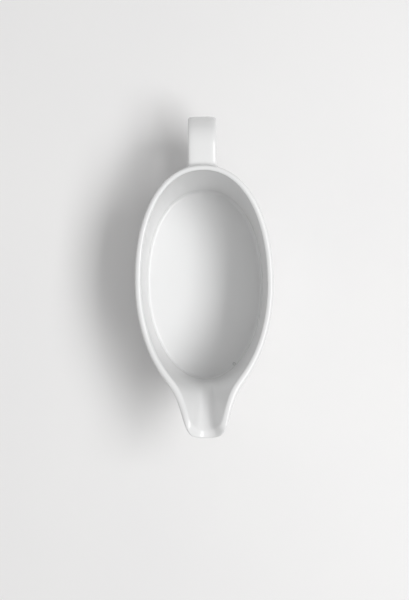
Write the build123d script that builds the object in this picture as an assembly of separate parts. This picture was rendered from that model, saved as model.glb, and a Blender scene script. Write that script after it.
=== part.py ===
from build123d import *
import math
import os

# Gravy boat, mm. +Z up, Y is the long axis: pouring lip at -Y, handle at +Y.
# The origin is under the middle of the bounding box, on the standing plane.

LENGTH = 212.0
BODY_Y = -5.8                # centre of the oval body
RIM_HALF_WIDTH = 45.0
RIM_HALF_LENGTH = 76.1
OVAL_POWER = 2.2             # the handle end is a little squarer than an ellipse
RIM_BAND = 4.0               # width of the rounded rim, seen from above
RIM_ROUND = 1.9
RIM_Z = 70.0
RIM_RISE_AT_HANDLE = 3.0

LIP_REACH = LENGTH / 2 + BODY_Y - RIM_HALF_LENGTH
LIP_HALF_WIDTH = 16.1
LIP_RISE = 12.0
LIP_DIP = 10.5               # the middle of the lip lies lower than its sides
LIP_EDGE = 1.0

BASE_Z = 3.0
BASE_CORNER = 8.0
FLOOR_Z = 7.0
FLOOR_CORNER = 2.3
FOOT_HALF_WIDTH = 34.6
FOOT_HALF_LENGTH = 62.6
FOOT_LAND = 4.2

STRAP_WIDTH = 18.6
STRAP_THICK = 5.4
STRAP_RADIUS = 1.7
STRAP_TOP_Z = 65.2           # centre line where the strap leaves the rim
STRAP_LOW_Z = 27.0           # centre line where it comes back to the wall
LOOP_Y = 85.0
LOOP_LONG = LENGTH / 2 - LOOP_Y - STRAP_THICK / 2
LOOP_TALL = 19.4
STATIONS = 40


def smooth(t):
    t = min(max(t, 0.0), 1.0)
    return t * t * (3 - 2 * t)


def oval(angle, half_width, handle_half, spout_half):
    """A point of the oval: angle 0 is the handle end, pi the spout end."""
    s = math.sin(angle)
    c = math.cos(angle)
    if c > 0:
        x = half_width * s ** (2 / OVAL_POWER)
        return x, BODY_Y + handle_half * c ** (2 / OVAL_POWER)
    return half_width * s, BODY_Y + spout_half * c


def outer_rim(angle):
    x, y = oval(angle, RIM_HALF_WIDTH, RIM_HALF_LENGTH, RIM_HALF_LENGTH)
    if math.cos(angle) < 0:
        y -= LIP_REACH / (1 + (x / LIP_HALF_WIDTH) ** 7)
    return x, y


def inner_rim(angle):
    half_width = RIM_HALF_WIDTH - RIM_BAND
    x, y = oval(angle, half_width, RIM_HALF_LENGTH - 3.3, RIM_HALF_LENGTH - 5.0)
    if math.cos(angle) < 0:
        y -= (LIP_REACH - 2.0) / (1 + (x / (LIP_HALF_WIDTH - 3.6)) ** 6)
    return x, y


def rim_height(x, y):
    """The rim is level along the body, rises to the lip and dips at its middle."""
    z = RIM_Z
    if y > 0:
        z += RIM_RISE_AT_HANDLE * (y / 70.3) ** 2
    if y < -36:
        z += LIP_RISE * ((-36 - y) / 65) ** 1.6
    trough = 1 - (x / 13.5) ** 2.2
    trough = (trough + math.sqrt(trough * trough + 0.05)) / 2
    return z - LIP_DIP * smooth((-87 - y) / 19) * trough


def even_angles():
    """Angles that space the stations evenly along one side of the outer rim."""
    fine = [math.pi * i / 4000 for i in range(4001)]
    points = [outer_rim(a) for a in fine]
    run = [0.0]
    for p, q in zip(points, points[1:]):
        run.append(run[-1] + math.dist(p, q))
    picked = []
    for k in range(STATIONS):
        target = run[-1] * k / STATIONS
        picked.append(next(a for a, r in zip(fine, run) if r >= target))
    return picked + [math.pi]


class Skin:
    """One side of the wall: an oval low down, drawn out to the rim line above."""

    def __init__(self, half_width, rim_width, handle_half, rim_handle, spout_half):
        self.half_width = half_width
        self.rim_width = rim_width
        self.handle_half = handle_half
        self.rim_handle = rim_handle
        self.spout_half = spout_half
        self.start_z = 0.0
        self.power = 1.0

    def grows(self, start_z, power):
        """The height where the wall starts to turn out, and how late it does so."""
        self.start_z = start_z
        self.power = power
        return self

    def size_at(self, z):
        up = min(max((z - 8) / 62, 0.0), 1.0)
        half_width = self.half_width + (self.rim_width - self.half_width) * up
        handle_half = self.handle_half + (self.rim_handle - self.handle_half) * up
        return half_width, handle_half, self.spout_half

    def angle_for(self, x, y):
        """The oval angle of the wall line that ends at (x, y) on the rim."""
        if y < BODY_Y:
            x *= 1 - 0.5 / (1 + (x / 18) ** 5)
            return math.pi - math.asin(min(max(x / self.rim_width, 0.0), 1.0))
        ratio = min(max(x / self.rim_width, 0.0), 1.0)
        return math.asin(ratio ** (OVAL_POWER / 2))

    def line(self, rim_x, rim_y, top_z):
        """One line up the wall, as a function from height to (x, y, z)."""
        angle = self.angle_for(rim_x, rim_y)
        oval_x, oval_y = oval(angle, *self.size_at(top_z))
        shift = (rim_x - oval_x, rim_y - oval_y)

        def at(z, drawn=0.0):
            size = [half - drawn for half in self.size_at(z)]
            x, y = oval(angle, *size)
            s = min(max((z - self.start_z) / (top_z - self.start_z), 0.0), 1.0)
            grown = s ** self.power
            return x + shift[0] * grown, y + shift[1] * grown, z

        run = math.hypot(*shift) * self.power
        return at, math.atan2(top_z - self.start_z, run)


OUTSIDE = Skin(43.8, 45.0, 71.6, 76.1, 71.5).grows(31.0, 1.9)
INSIDE = Skin(40.7, 41.0, 66.4, 72.8, 66.9).grows(24.0, 3.3)


def corner_points(line, floor_z, radius, steps):
    """The rounded edge between a level floor and the wall, from the floor up."""
    points = []
    for i in range(steps):
        a = math.pi / 2 * i / steps
        x, y, _ = line(floor_z, radius * (1 - math.sin(a)))
        points.append((x, y, floor_z + radius * (1 - math.cos(a))))
    return points


def outer_wall_points(line, low, steps):
    """Wall points that get closer together towards the rim."""
    foot = BASE_Z + BASE_CORNER
    points = []
    for i in range(steps + 1):
        t = i / steps
        part = 0.45 * t + 0.55 * (2 * t - t * t)
        points.append(line(foot + (low - foot) * part))
    return points


def inner_wall_points(line, top, steps):
    """Wall points down to the floor, closer together at both ends."""
    foot = FLOOR_Z + FLOOR_CORNER
    points = []
    for i in range(1, steps):
        t = i / steps
        part = t - 0.5 * math.sin(2 * math.pi * t) / (2 * math.pi)
        points.append(line(top + (foot - top) * part))
    points.append(line(foot))
    return points


class Rim:
    """The rounded rim between an outer and an inner rim point."""

    def __init__(self, outer, inner):
        self.outer = outer
        self.gap = math.dist(outer, inner)
        dx, dy = inner[0] - outer[0], inner[1] - outer[1]
        self.inward = (dx / self.gap, dy / self.gap)
        self.high = rim_height(*outer)
        lip = smooth((-87 - outer[1]) / 14)
        self.crest = self.gap / 2 + (LIP_EDGE - self.gap / 2) * lip
        round_off = min(self.gap / 2, RIM_ROUND)
        self.low = self.high - (round_off + (1.5 - round_off) * lip)
        self.drop = 0.65 * round_off + lip

    def at(self, shift, z):
        x = self.outer[0] + self.inward[0] * shift
        return x, self.outer[1] + self.inward[1] * shift, z

    def outer_points(self, steps):
        points = []
        for i in range(1, steps + 1):
            b = math.pi / 2 * i / steps
            z = self.low + (self.high - self.low) * math.sin(b)
            points.append(self.at(self.crest * (1 - math.cos(b)), z))
        return points

    def inner_points(self, steep, steps):
        """The inner half of the rim, down to where it meets the wall's slope."""
        wide = self.gap - self.crest
        end = math.atan2(math.sin(steep) * wide, math.cos(steep) * self.drop)
        points = []
        for i in range(1, steps + 1):
            b = end * i / steps
            z = self.high - self.drop * (1 - math.cos(b))
            points.append(self.at(self.crest + wide * math.sin(b), z))
        return points


def column(angle, inner_rim_points):
    """One line over the wall: from under the base, over the rim, to the floor."""
    outer = outer_rim(angle)
    inner = min(inner_rim_points, key=lambda p: math.dist(p, outer))
    rim = Rim(outer, inner)
    outer_line, _ = OUTSIDE.line(*outer, rim.low - 1.0)
    _, steep = INSIDE.line(*inner, rim.high - 1.0)
    points = corner_points(outer_line, BASE_Z, BASE_CORNER, 5)
    points += outer_wall_points(outer_line, rim.low, 22)
    points += rim.outer_points(3)
    points += rim.inner_points(steep, 3)
    inner_line, _ = INSIDE.line(*points[-1])
    points += inner_wall_points(inner_line, points[-1][2], 27)
    points += reversed(corner_points(inner_line, FLOOR_Z, FLOOR_CORNER, 3))
    return points


def flat_cap(sides, z):
    """The flat face that closes the two halves of the skin at height z."""
    edges = [e for side in sides for e in side.edges()]
    level = [e for e in edges if abs(e.center().Z - z) < 0.01]
    return Face(Wire(level))


def build_bowl():
    """The wall as one skin over the rim on each half, closed by two flat faces."""
    rim_points = [inner_rim(math.pi * i / 3000) for i in range(3001)]
    columns = [column(a, rim_points) for a in even_angles()]
    for end in (0, -1):
        columns[end] = [(0.0, y, z) for _, y, z in columns[end]]
    right = Face.make_surface_from_array_of_points(columns, tol=0.005, min_deg=3, max_deg=8)
    sides = [right, right.mirror(Plane.YZ)]
    caps = [flat_cap(sides, z) for z in (BASE_Z, FLOOR_Z)]
    return Solid(Shell(sides + caps))


def wall_y(z):
    """How far the outside of the wall reaches towards the handle at height z."""
    return BODY_Y + OUTSIDE.size_at(z)[1]


def strap_line():
    """Centre line of the strap from the rim to the low joint, as (y, z)."""
    top_start = wall_y(STRAP_TOP_Z) - 1.9
    low_end = wall_y(STRAP_LOW_Z) - 1.9
    bottom_z = STRAP_TOP_Z - 2 * LOOP_TALL
    line = []
    for i in range(6):
        line.append((top_start + (LOOP_Y - top_start) * i / 6, STRAP_TOP_Z))
    for i in range(17):
        t = math.pi / 2 - math.pi * i / 16
        y = LOOP_Y + LOOP_LONG * math.cos(t)
        line.append((y, STRAP_TOP_Z - LOOP_TALL + LOOP_TALL * math.sin(t)))
    for i in range(1, 9):
        y = LOOP_Y + (low_end - LOOP_Y) * i / 8
        line.append((y, bottom_z + (STRAP_LOW_Z - bottom_z) * smooth(i / 8)))
    return line


def strap_profile():
    """Side view of the handle: the centre line offset to both sides."""
    line = strap_line()
    sides = ([], [])
    for i, (y, z) in enumerate(line):
        before = line[max(i - 1, 0)]
        after = line[min(i + 1, len(line) - 1)]
        dy, dz = after[0] - before[0], after[1] - before[1]
        size = math.hypot(dy, dz)
        for side, way in zip(sides, (STRAP_THICK / 2, -STRAP_THICK / 2)):
            side.append((y - dz / size * way, z + dy / size * way))
    outer, inner = sides
    band = Spline(*outer) + Line(outer[-1], inner[-1])
    band += Spline(*reversed(inner)) + Line(inner[0], outer[0])
    return make_face(band)


def build_handle(bowl):
    """A strap with rounded long edges, trimmed to the outside of the wall."""
    band = extrude(Plane.YZ * strap_profile(), STRAP_WIDTH / 2, both=True)
    long_edges = [e for e in band.edges() if e.length > STRAP_WIDTH + 1]
    band = fillet(long_edges, STRAP_RADIUS)
    return band - bowl


def flat_oval(half_width, half_length, z):
    return Pos(0, BODY_Y, z) * Ellipse(half_width, half_length)


def build_foot_ring():
    """A low oval ring, a little narrower where it stands."""
    low = (FOOT_HALF_WIDTH - 0.8, FOOT_HALF_LENGTH - 0.8)
    top = (FOOT_HALF_WIDTH, FOOT_HALF_LENGTH)
    solid = loft([flat_oval(*low, 0), flat_oval(*top, BASE_Z)])
    low_in = (low[0] - FOOT_LAND + 1.0, low[1] - FOOT_LAND + 1.0)
    top_in = (top[0] - FOOT_LAND - 1.0, top[1] - FOOT_LAND - 1.0)
    hole = loft([flat_oval(*low_in, 0), flat_oval(*top_in, BASE_Z)])
    ring = solid - hole
    return fillet(ring.edges().group_by(Axis.Z)[0], 0.7)


def save(part, name):
    export_step(part, f"parts/{name}.step")
    box = part.bounding_box()
    print(name, part.is_valid, round(part.volume), box.min, box.max)


os.makedirs("parts", exist_ok=True)
bowl = build_bowl()
save(bowl, "bowl")
save(build_handle(bowl), "handle")
save(build_foot_ring(), "foot_ring")
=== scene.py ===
import math

import bmesh
import bpy
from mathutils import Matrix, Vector


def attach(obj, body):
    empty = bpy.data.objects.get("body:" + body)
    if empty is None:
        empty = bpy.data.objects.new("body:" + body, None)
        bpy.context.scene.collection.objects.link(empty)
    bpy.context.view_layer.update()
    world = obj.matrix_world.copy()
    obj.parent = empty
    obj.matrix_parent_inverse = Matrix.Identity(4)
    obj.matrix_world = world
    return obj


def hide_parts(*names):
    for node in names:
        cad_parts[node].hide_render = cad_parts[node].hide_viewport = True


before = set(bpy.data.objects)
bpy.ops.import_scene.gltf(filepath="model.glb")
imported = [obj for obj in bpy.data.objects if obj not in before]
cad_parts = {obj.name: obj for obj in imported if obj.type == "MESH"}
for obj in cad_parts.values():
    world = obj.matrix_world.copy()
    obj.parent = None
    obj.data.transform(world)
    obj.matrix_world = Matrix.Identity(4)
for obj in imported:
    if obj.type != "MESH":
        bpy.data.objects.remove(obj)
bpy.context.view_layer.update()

# Lengths below are in millimetres and go through MM where a mesh is made.
MM = 0.001

BODY_Y = -5.8  # centre of the oval body
RIM_WIDE = 45.0  # half width over the rim
RIM_LONG = 76.1  # half length over the rim, without the lip
OVAL_POWER = 2.2  # the handle end is a little squarer than an ellipse
RIM_BAND = 4.0
RIM_ROUND = 1.9
RIM_Z = 70.0
RIM_RISE_AT_HANDLE = 3.0

LIP_REACH = 24.1
LIP_WIDE = 16.1
LIP_RISE = 12.0
LIP_DIP = 10.5
LIP_EDGE = 1.0
LIP_START_Y = -87.0
TROUGH_WIDE = 13.5
TROUGH_SOFTNESS = 0.05

BASE_Z = 3.0
BASE_CORNER = 8.0
BASE_HOLLOW = 0.5
FLOOR_Z = 7.0
FLOOR_CORNER = 2.3
FLOOR_HOLLOW = 0.15
COLUMNS = 200


def smooth(t):
    t = min(max(t, 0.0), 1.0)
    return t * t * (3 - 2 * t)


# ---------------------------------------------------------------- outlines


def oval(angle, wide, handle_long, spout_long):
    """A point of the oval in plan. Angle 0 is the handle end, pi the spout end."""
    s = math.sin(angle)
    c = math.cos(angle)
    if c > 0:
        x = wide * s ** (2 / OVAL_POWER)
        return x, BODY_Y + handle_long * c ** (2 / OVAL_POWER)
    return wide * s, BODY_Y + spout_long * c


def outer_rim(angle):
    x, y = oval(angle, RIM_WIDE, RIM_LONG, RIM_LONG)
    if math.cos(angle) < 0:
        y -= LIP_REACH / (1 + (x / LIP_WIDE) ** 7)
    return x, y


def inner_rim(angle):
    x, y = oval(angle, RIM_WIDE - RIM_BAND, RIM_LONG - 3.3, RIM_LONG - 5.0)
    if math.cos(angle) < 0:
        y -= (LIP_REACH - 2.0) / (1 + (x / (LIP_WIDE - 3.6)) ** 6)
    return x, y


def rim_height(x, y):
    """The rim is level along the body, rises to the lip and dips at its middle."""
    z = RIM_Z
    if y > 0:
        z += RIM_RISE_AT_HANDLE * (y / 70.3) ** 2
    if y < -36:
        z += LIP_RISE * ((-36 - y) / 65) ** 1.6
    trough = 1 - (x / TROUGH_WIDE) ** 2.2
    trough = (trough + math.sqrt(trough * trough + TROUGH_SOFTNESS)) / 2
    return z - LIP_DIP * smooth((LIP_START_Y - y) / 19) * trough


def running_length(points):
    """The length along a line of points, up to each of them."""
    run = [0.0]
    for p, q in zip(points, points[1:]):
        run.append(run[-1] + math.dist(p, q))
    return run


def even_angles(outline, count):
    """Angles that space the points evenly along one side of an outline."""
    fine = [math.pi * i / 4000 for i in range(4001)]
    run = running_length([outline(a) for a in fine])
    picked = []
    j = 0
    for k in range(count + 1):
        target = run[-1] * k / count
        while j < 4000 and run[j + 1] < target:
            j += 1
        picked.append(fine[j] if k < count else math.pi)
    return picked


def nearest(point, candidates):
    return min(candidates, key=lambda c: math.dist(point, c))


# ------------------------------------------------------------ body surface


def oval_angle(x, wide, spout_side):
    """The oval angle whose half width is x, on the handle or the spout side."""
    ratio = min(max(x / wide, 0.0), 1.0)
    if spout_side:
        return math.pi - math.asin(ratio)
    return math.asin(ratio ** (OVAL_POWER / 2))


def foot_x(x):
    """Where a line of the wall that ends at x on the rim starts lower down."""
    return x * (1 - 0.5 / (1 + (x / 18) ** 5))


class Wall:
    """One skin of the body: an oval below, drawn out to the rim line above."""

    def __init__(self, wide, wide_top, long_low, long_top, spout_long, start_z, power):
        self.wide = wide
        self.wide_top = wide_top
        self.long_low = long_low
        self.long_top = long_top
        self.spout_long = spout_long
        self.start_z = start_z
        self.power = power

    def size_at(self, z):
        """Half width, and half length towards the handle, at a height."""
        up = min(max((z - 8) / 62, 0.0), 1.0)
        wide = self.wide + (self.wide_top - self.wide) * up
        long = self.long_low + (self.long_top - self.long_low) * up
        return wide, long

    def oval_at(self, angle, z, drawn=0.0):
        wide, long = self.size_at(z)
        return oval(angle, wide - drawn, long - drawn, self.spout_long - drawn)

    def column(self, rim_x, rim_y, top_z):
        """The oval angle of a column, and how far the rim lies out from the oval."""
        spout_side = rim_y < BODY_Y
        start = foot_x(rim_x) if spout_side else rim_x
        angle = oval_angle(start, self.wide_top, spout_side)
        x, y = self.oval_at(angle, top_z)
        return angle, rim_x - x, rim_y - y

    def line(self, rim_x, rim_y, top_z):
        """The plan position of one column of the skin as a function of height."""
        angle, shift_x, shift_y = self.column(rim_x, rim_y, top_z)

        def at(z, drawn=0.0):
            x, y = self.oval_at(angle, z, drawn)
            s = min(max((z - self.start_z) / (top_z - self.start_z), 0.0), 1.0)
            grown = s**self.power
            return x + shift_x * grown, y + shift_y * grown

        return at

    def slope(self, rim_x, rim_y, top_z):
        """Steepness of a column where it meets the rim, from level, in radians."""
        _, shift_x, shift_y = self.column(rim_x, rim_y, top_z)
        run = math.hypot(shift_x, shift_y) * self.power
        return math.atan2(top_z - self.start_z, run)


OUTER = Wall(43.8, RIM_WIDE, 71.6, RIM_LONG, 71.5, 31.0, 1.9)
INNER = Wall(40.7, RIM_WIDE - RIM_BAND, 66.4, RIM_LONG - 3.3, 66.9, 24.0, 3.3)


class Crest:
    """The rounded rim of one column, from the outer wall over to the inner one."""

    def __init__(self, angle, inner_line):
        self.outer = outer_rim(angle)
        inner = nearest(self.outer, inner_line)
        self.gap = math.dist(self.outer, inner)
        dx = inner[0] - self.outer[0]
        dy = inner[1] - self.outer[1]
        self.inward = (dx / self.gap, dy / self.gap)
        self.high = rim_height(*self.outer)
        lip = smooth((LIP_START_Y - self.outer[1]) / 14)
        self.out = self.gap / 2 + (LIP_EDGE - self.gap / 2) * lip
        round_off = min(self.gap / 2, RIM_ROUND)
        self.low = self.high - (round_off + (1.5 - round_off) * lip)
        self.drop = 0.65 * round_off + lip
        steep = INNER.slope(*inner, self.high - 1.0)
        across = math.sin(steep) * (self.gap - self.out)
        self.end = math.atan2(across, math.cos(steep) * self.drop)

    def point(self, shift, z):
        x, y = self.outer
        return x + self.inward[0] * shift, y + self.inward[1] * shift, z

    def outside(self):
        """A quarter turn from the top of the outer wall to the crest."""
        points = []
        for i in range(1, 9):
            turn = math.pi / 2 * i / 8
            shift = self.out * (1 - math.cos(turn))
            z = self.low + (self.high - self.low) * math.sin(turn)
            points.append(self.point(shift, z))
        return points

    def inside(self):
        """From the crest down to where the inner wall takes over its slope."""
        points = []
        for i in range(1, 11):
            turn = self.end * i / 10
            shift = self.out + (self.gap - self.out) * math.sin(turn)
            points.append(self.point(shift, self.high - self.drop * (1 - math.cos(turn))))
        return points


def outer_wall(crest):
    """From under the base, round its corner and up to the rim."""
    wall = OUTER.line(*crest.outer, crest.low - 1.0)
    points = []
    for i in range(13):
        turn = math.pi / 2 * i / 12
        x, y = wall(BASE_Z, BASE_CORNER * (1 - math.sin(turn)))
        points.append((x, y, BASE_Z + BASE_CORNER * (1 - math.cos(turn))))
    for i in range(1, 61):
        z = BASE_Z + BASE_CORNER + (crest.low - BASE_Z - BASE_CORNER) * i / 60
        points.append((*wall(z), z))
    return points


def inner_wall(x, y, top):
    """From the rim down and round the corner to the floor."""
    wall = INNER.line(x, y, top)
    foot = FLOOR_Z + FLOOR_CORNER
    points = []
    for i in range(1, 71):
        z = top + (foot - top) * i / 70
        points.append((*wall(z), z))
    for i in range(1, 11):
        turn = math.pi / 2 * (1 - i / 10)
        x, y = wall(FLOOR_Z, FLOOR_CORNER * (1 - math.sin(turn)))
        points.append((x, y, FLOOR_Z + FLOOR_CORNER * (1 - math.cos(turn))))
    return points


def body_column(angle, inner_line):
    """The points of one column, from under the base, over the rim, to the floor."""
    crest = Crest(angle, inner_line)
    inside = crest.inside()
    return outer_wall(crest) + crest.outside() + inside + inner_wall(*inside[-1])


def shrunk(point, keep, lift):
    """A point drawn in towards the middle of the body and lifted a little."""
    x, y, z = point
    return x * keep, BODY_Y + (y - BODY_Y) * keep, z + lift * (1 - keep * keep)


def closed_rings(columns):
    """Mirrors the right-hand columns and turns them into closed rings."""
    mirrored = [[(-x, y, z) for x, y, z in c] for c in reversed(columns[1:-1])]
    around = columns + mirrored
    return [[c[row] for c in around] for row in range(len(columns[0]))]


def mesh_from_rings(name, rings, start_centre=None, end_centre=None):
    verts = [p for ring in rings for p in ring]
    n = len(rings[0])
    faces = []
    for r in range(len(rings) - 1):
        for i in range(n):
            j = (i + 1) % n
            a = r * n
            faces.append((a + i, a + j, a + n + j, a + n + i))
    if start_centre:
        verts.append(start_centre)
        c = len(verts) - 1
        faces += [((i + 1) % n, i, c) for i in range(n)]
    if end_centre:
        verts.append(end_centre)
        c = len(verts) - 1
        a = (len(rings) - 1) * n
        faces += [(a + i, a + (i + 1) % n, c) for i in range(n)]
    mesh = bpy.data.meshes.new(name)
    mesh.from_pydata([(x * MM, y * MM, z * MM) for x, y, z in verts], [], faces)
    mesh.validate()
    mesh.update()
    for poly in mesh.polygons:
        poly.use_smooth = True
    obj = bpy.data.objects.new(name, mesh)
    bpy.context.collection.objects.link(obj)
    return obj


def outward(obj):
    """Turns the faces so that their normals point out of the closed mesh."""
    bm = bmesh.new()
    bm.from_mesh(obj.data)
    bmesh.ops.recalc_face_normals(bm, faces=bm.faces)
    bm.to_mesh(obj.data)
    bm.free()


def make_body():
    inner_line = [inner_rim(math.pi * i / 1500) for i in range(1501)]
    columns = []
    for angle in even_angles(outer_rim, COLUMNS):
        columns.append(body_column(angle, inner_line))
    for column in (columns[0], columns[-1]):
        column[:] = [(0.0, y, z) for x, y, z in column]
    rings = closed_rings(columns)
    under = []
    for k in range(1, 10):
        under.append([shrunk(p, k / 10, BASE_HOLLOW) for p in rings[0]])
    floor = []
    for k in range(9, 0, -1):
        floor.append([shrunk(p, k / 10, -FLOOR_HOLLOW) for p in rings[-1]])
    rings = under + rings + floor
    start = (0.0, BODY_Y, BASE_Z + BASE_HOLLOW)
    end = (0.0, BODY_Y, FLOOR_Z - FLOOR_HOLLOW)
    body = mesh_from_rings("boat_body", rings, start, end)
    outward(body)
    return body


# ------------------------------------------------------------------ handle

STRAP_HALF = 9.3  # half the width of the strap
STRAP_THIN = 2.7  # half its thickness
STRAP_POWER = 4.0
TOP_Z = 65.2  # centre line where the strap leaves the rim
LOW_Z = 27.0  # centre line where it comes back to the wall
LOOP_Y = 85.0
LOOP_LONG = 18.3
LOOP_TALL = 19.4
FILLET = 3.4
FILLET_OVERLAP = 0.05


def strap_section(count):
    """The strap's cross-section: a soft rectangle, as (across, out) pairs."""
    fine = []
    for i in range(1441):
        t = 2 * math.pi * i / 1440
        c, s = math.cos(t), math.sin(t)
        across = STRAP_HALF * math.copysign(abs(c) ** (2 / STRAP_POWER), c)
        out = STRAP_THIN * math.copysign(abs(s) ** (2 / STRAP_POWER), s)
        fine.append((across, out))
    run = running_length(fine)
    picked = []
    j = 0
    for k in range(count):
        target = run[-1] * k / count
        while run[j + 1] < target:
            j += 1
        part = (target - run[j]) / (run[j + 1] - run[j])
        before, after = fine[j], fine[j + 1]
        across = before[0] + (after[0] - before[0]) * part
        picked.append((across, before[1] + (after[1] - before[1]) * part))
    return picked


def wall_y(x, z):
    """How far towards the handle the outside of the body reaches at (x, z)."""
    wide, long = OUTER.size_at(z)
    part = 1 - (abs(x) / wide) ** OVAL_POWER
    return BODY_Y + long * part ** (1 / OVAL_POWER)


def strap_path():
    """Centre line of the free part of the strap, top to bottom, as (y, z)."""
    top_start = wall_y(0, TOP_Z) + FILLET
    low_start = wall_y(0, LOW_Z) + FILLET
    path = []
    for i in range(10):
        t = i / 10
        path.append((top_start + (LOOP_Y - top_start) * t, TOP_Z))
    for i in range(61):
        t = math.pi / 2 - math.pi * i / 60
        y = LOOP_Y + LOOP_LONG * math.cos(t)
        path.append((y, TOP_Z - LOOP_TALL + LOOP_TALL * math.sin(t)))
    bottom = TOP_Z - 2 * LOOP_TALL
    for i in range(1, 13):
        t = i / 12
        y = LOOP_Y + (low_start - LOOP_Y) * t
        path.append((y, bottom + (LOW_Z - bottom) * smooth(t)))
    return path


def strap_ring(section, centre, along):
    """One ring of the strap round its centre line."""
    y, z = centre
    ty, tz = along
    return [(a, y - o * tz, z + o * ty) for a, o in section]


def flared_ring(section, level, turn, face_up):
    """A ring of the fillet where the strap runs out onto the wall."""
    flare = FILLET * (1 - math.cos(turn))
    away = FILLET * (1 - math.sin(turn))
    ring = []
    for k, (a, o) in enumerate(section):
        before = section[k - 1]
        after = section[(k + 1) % len(section)]
        da, do = after[0] - before[0], after[1] - before[1]
        size = math.hypot(da, do)
        na, no = do / size, -da / size
        x = a + na * flare
        z = level + (o + no * flare) * face_up
        ring.append((x, wall_y(x, z) + away - FILLET_OVERLAP, z))
    return ring


def make_handle():
    section = strap_section(88)
    path = strap_path()
    turns = [math.pi / 2 * i / 12 for i in range(1, 13)]
    rings = [flared_ring(section, TOP_Z, turn, 1) for turn in reversed(turns)]
    for i, centre in enumerate(path):
        before = path[max(i - 1, 0)]
        after = path[min(i + 1, len(path) - 1)]
        dy, dz = after[0] - before[0], after[1] - before[1]
        size = math.hypot(dy, dz)
        rings.append(strap_ring(section, centre, (dy / size, dz / size)))
    rings += [flared_ring(section, LOW_Z, turn, -1) for turn in turns]
    handle = mesh_from_rings("strap_handle", rings)
    outward(handle)
    return handle


# --------------------------------------------------------------- foot ring


FOOT_WIDE = 34.6
FOOT_LONG = 62.6


def make_foot_ring():
    """A low ring under the body; profile as (distance in from outside, z)."""
    profile = [(0.0, 3.05), (0.3, 1.6), (0.75, 0.55), (1.1, 0.15), (1.6, 0.0)]
    profile += [(3.0, 0.0), (3.5, 0.15), (3.85, 0.55), (4.4, 1.6), (5.0, 3.05)]
    rings = []
    for inset, z in profile:
        ring = []
        for i in range(180):
            t = 2 * math.pi * i / 180
            x = (FOOT_WIDE - inset) * math.sin(t)
            ring.append((x, BODY_Y + (FOOT_LONG - inset) * math.cos(t), z))
        rings.append(ring)
    foot = mesh_from_rings("standing_ring", rings)
    outward(foot)
    return foot


# --------------------------------------------------------------- materials

# The pin mark's place, radius and half line width are in metres.
PIN_MARK = (0.0199, -0.0622, 0.0078)
PIN_MARK_RADIUS = 0.00105
PIN_MARK_LINE = 0.00045


def new_material(name):
    material = bpy.data.materials.new(name)
    material.use_nodes = True
    nodes = material.node_tree.nodes
    return material, nodes, material.node_tree.links, nodes["Principled BSDF"]


def noise_node(nodes, links, scale, detail=3.0):
    coord = nodes.new("ShaderNodeTexCoord")
    noise = nodes.new("ShaderNodeTexNoise")
    noise.inputs["Scale"].default_value = scale
    noise.inputs["Detail"].default_value = detail
    links.new(coord.outputs["Object"], noise.inputs["Vector"])
    return noise


def tinted(nodes, links, factor, dark, light):
    ramp = nodes.new("ShaderNodeValToRGB")
    ramp.color_ramp.elements[0].color = (*dark, 1)
    ramp.color_ramp.elements[1].color = (*light, 1)
    ramp.color_ramp.elements[0].position = 0.3
    ramp.color_ramp.elements[1].position = 0.7
    links.new(factor, ramp.inputs["Fac"])
    return ramp.outputs["Color"]


def with_pin_mark(nodes, links, colour):
    """A tiny grey ring in the glaze of the floor, where a bubble burst in firing."""
    coord = nodes.new("ShaderNodeTexCoord")
    away = nodes.new("ShaderNodeVectorMath")
    away.operation = "DISTANCE"
    away.inputs[1].default_value = PIN_MARK
    off_ring = nodes.new("ShaderNodeMath")
    off_ring.operation = "SUBTRACT"
    off_ring.inputs[1].default_value = PIN_MARK_RADIUS
    size = nodes.new("ShaderNodeMath")
    size.operation = "ABSOLUTE"
    level = nodes.new("ShaderNodeMapRange")
    level.inputs["From Max"].default_value = PIN_MARK_LINE
    level.inputs["To Min"].default_value = 0.55
    level.inputs["To Max"].default_value = 0.0
    mix = nodes.new("ShaderNodeMix")
    mix.data_type = "RGBA"
    mix.inputs["B"].default_value = (0.3, 0.3, 0.3, 1)
    links.new(coord.outputs["Object"], away.inputs[0])
    links.new(away.outputs["Value"], off_ring.inputs[0])
    links.new(off_ring.outputs["Value"], size.inputs[0])
    links.new(size.outputs["Value"], level.inputs["Value"])
    links.new(level.outputs["Result"], mix.inputs["Factor"])
    links.new(colour, mix.inputs["A"])
    return mix.outputs["Result"]


def glaze(name):
    """White porcelain under a clear, very slightly uneven glaze."""
    material, nodes, links, shader = new_material(name)
    clouds = noise_node(nodes, links, 22.0)
    colour = tinted(
        nodes, links, clouds.outputs["Fac"], (0.795, 0.797, 0.797), (0.81, 0.811, 0.81)
    )
    links.new(with_pin_mark(nodes, links, colour), shader.inputs["Base Color"])
    shader.inputs["Roughness"].default_value = 0.4
    shader.inputs["IOR"].default_value = 1.45
    shader.inputs["Coat Weight"].default_value = 0.8
    shader.inputs["Coat Roughness"].default_value = 0.2
    shader.inputs["Coat IOR"].default_value = 1.5
    shader.inputs["Specular IOR Level"].default_value = 0.2
    ripple = noise_node(nodes, links, 60.0, 1.0)
    bump = nodes.new("ShaderNodeBump")
    bump.inputs["Strength"].default_value = 0.05
    bump.inputs["Distance"].default_value = 0.0004
    links.new(ripple.outputs["Fac"], bump.inputs["Height"])
    links.new(bump.outputs["Normal"], shader.inputs["Coat Normal"])
    return material


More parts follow.
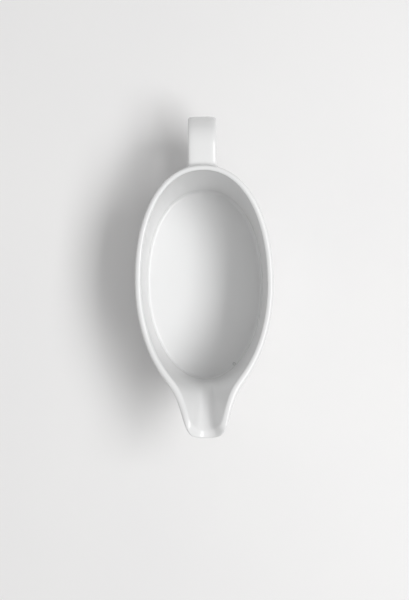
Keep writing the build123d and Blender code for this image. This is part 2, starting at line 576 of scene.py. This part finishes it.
def bare_clay(name):
    """Unglazed, finely grained porcelain on the standing ring."""
    material, nodes, links, shader = new_material(name)
    grain = noise_node(nodes, links, 900.0, 4.0)
    colour = tinted(
        nodes, links, grain.outputs["Fac"], (0.66, 0.64, 0.60), (0.76, 0.74, 0.70)
    )
    links.new(colour, shader.inputs["Base Color"])
    shader.inputs["Roughness"].default_value = 0.85
    bump = nodes.new("ShaderNodeBump")
    bump.inputs["Strength"].default_value = 0.3
    bump.inputs["Distance"].default_value = 0.0002
    links.new(grain.outputs["Fac"], bump.inputs["Height"])
    links.new(bump.outputs["Normal"], shader.inputs["Normal"])
    return material


def table_top(name):
    """Pale matte table, very faintly clouded."""
    material, nodes, links, shader = new_material(name)
    clouds = noise_node(nodes, links, 6.0, 5.0)
    colour = tinted(
        nodes, links, clouds.outputs["Fac"], (0.825, 0.82, 0.82), (0.845, 0.84, 0.835)
    )
    links.new(colour, shader.inputs["Base Color"])
    shader.inputs["Roughness"].default_value = 0.5
    return material


# ------------------------------------------------------------------- build

white = glaze("white_glaze")
clay = bare_clay("bare_clay")

body = make_body()
body.data.materials.append(white)
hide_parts("bowl")

handle = make_handle()
handle.data.materials.append(white)
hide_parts("handle")

foot = make_foot_ring()
foot.data.materials.append(clay)
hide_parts("foot_ring")

for piece in (body, handle, foot):
    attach(piece, "root")


# -------------------------------------------------------- stage and camera


def make_floor():
    mesh = bpy.data.meshes.new("floor")
    far = 3.0
    corners = [(-far, -far, 0), (far, -far, 0), (far, far, 0), (-far, far, 0)]
    mesh.from_pydata(corners, [], [(0, 1, 2, 3)])
    floor = bpy.data.objects.new("floor", mesh)
    bpy.context.collection.objects.link(floor)
    mesh.materials.append(table_top("table_top"))
    return floor


def area_light(name, place, target, width, height, watts):
    data = bpy.data.lights.new(name, "AREA")
    data.shape = "RECTANGLE"
    data.size = width
    data.size_y = height
    data.energy = watts
    lamp = bpy.data.objects.new(name, data)
    lamp.location = place
    aim = Vector(target) - Vector(place)
    lamp.rotation_euler = aim.to_track_quat("-Z", "Y").to_euler()
    bpy.context.collection.objects.link(lamp)
    return lamp


def soft_world(low, high):
    """Even light from all round, weaker near the horizon than overhead."""
    world = bpy.data.worlds.new("soft_world")
    world.use_nodes = True
    nodes = world.node_tree.nodes
    links = world.node_tree.links
    coord = nodes.new("ShaderNodeTexCoord")
    split = nodes.new("ShaderNodeSeparateXYZ")
    level = nodes.new("ShaderNodeMapRange")
    level.inputs["To Min"].default_value = low
    level.inputs["To Max"].default_value = high
    links.new(coord.outputs["Generated"], split.inputs["Vector"])
    links.new(split.outputs["Z"], level.inputs["Value"])
    links.new(level.outputs["Result"], nodes["Background"].inputs["Strength"])
    nodes["Background"].inputs["Color"].default_value = (1.0, 1.0, 1.0, 1)
    bpy.context.scene.world = world


def make_camera():
    data = bpy.data.cameras.new("camera")
    data.lens = 60.0
    data.sensor_width = 36.0
    camera = bpy.data.objects.new("camera", data)
    camera.location = (0.0042, -0.0168, 0.717)
    camera.rotation_euler = (0.0, math.radians(0.37), math.radians(-0.85))
    bpy.context.collection.objects.link(camera)
    bpy.context.scene.camera = camera


KEY_ELEVATION = math.radians(59.5)
KEY_DISTANCE = 2.0
KEY_AT = (
    KEY_DISTANCE * math.cos(KEY_ELEVATION),
    -0.16,
    KEY_DISTANCE * math.sin(KEY_ELEVATION),
)

floor = make_floor()
key = area_light("key", KEY_AT, (0, -0.01, 0.04), 1.6, 0.7, 28.0)
fill = area_light("fill", (-1.9, 0.0, 0.75), (0, 0, 0.04), 1.6, 1.0, 4.0)
soft_world(0.05, 0.605)
make_camera()
bpy.context.scene.view_settings.view_transform = "Standard"
